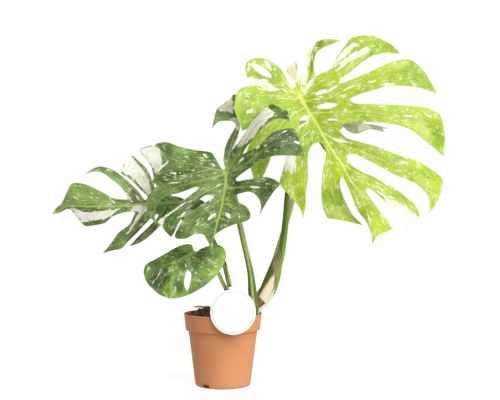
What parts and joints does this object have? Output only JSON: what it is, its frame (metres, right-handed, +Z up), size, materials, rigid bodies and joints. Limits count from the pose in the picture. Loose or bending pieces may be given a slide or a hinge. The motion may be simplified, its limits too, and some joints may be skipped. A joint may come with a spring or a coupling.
{
  "type": "potted monstera",
  "caption": "Variegated monstera houseplant with large split leaves on upright petioles in a terracotta-coloured nursery pot filled with soil, with a round blank hang tag.",
  "frame": {"origin": "centre of the pot's underside", "axes": "+Z up out of the pot, +X to the right as seen from the front, -Y towards the front"},
  "size_m": [0.8528, 0.4405, 0.7758],
  "materials": {
    "pot": "satin terracotta-coloured moulded plastic",
    "soil": "dark potting soil with bark chips",
    "stem": "matte green-brown rhizome",
    "petiole": "smooth satin green stalk",
    "young_leaf": "satin lime green blade flecked with cream",
    "leaf": "satin dark green blade flecked with cream",
    "dry_leaf": "matte dried sheath",
    "tag": "blank white card"
  },
  "bodies": {
    "root": {"pot": "pot", "soil": "soil", "stem": "stem", "petiole_a": "petiole", "petiole_b": "petiole", "petiole_c": "petiole", "petiole_d": "petiole", "petiole_e": "petiole", "leaf_a": "young_leaf", "leaf_b": "leaf", "leaf_c": "leaf", "leaf_d": "leaf", "leaf_e": "leaf", "dried_sheath": "dry_leaf", "old_scale": "dry_leaf", "dry_scrap": "dry_leaf", "tag": "tag"}
  },
  "joints": []
}
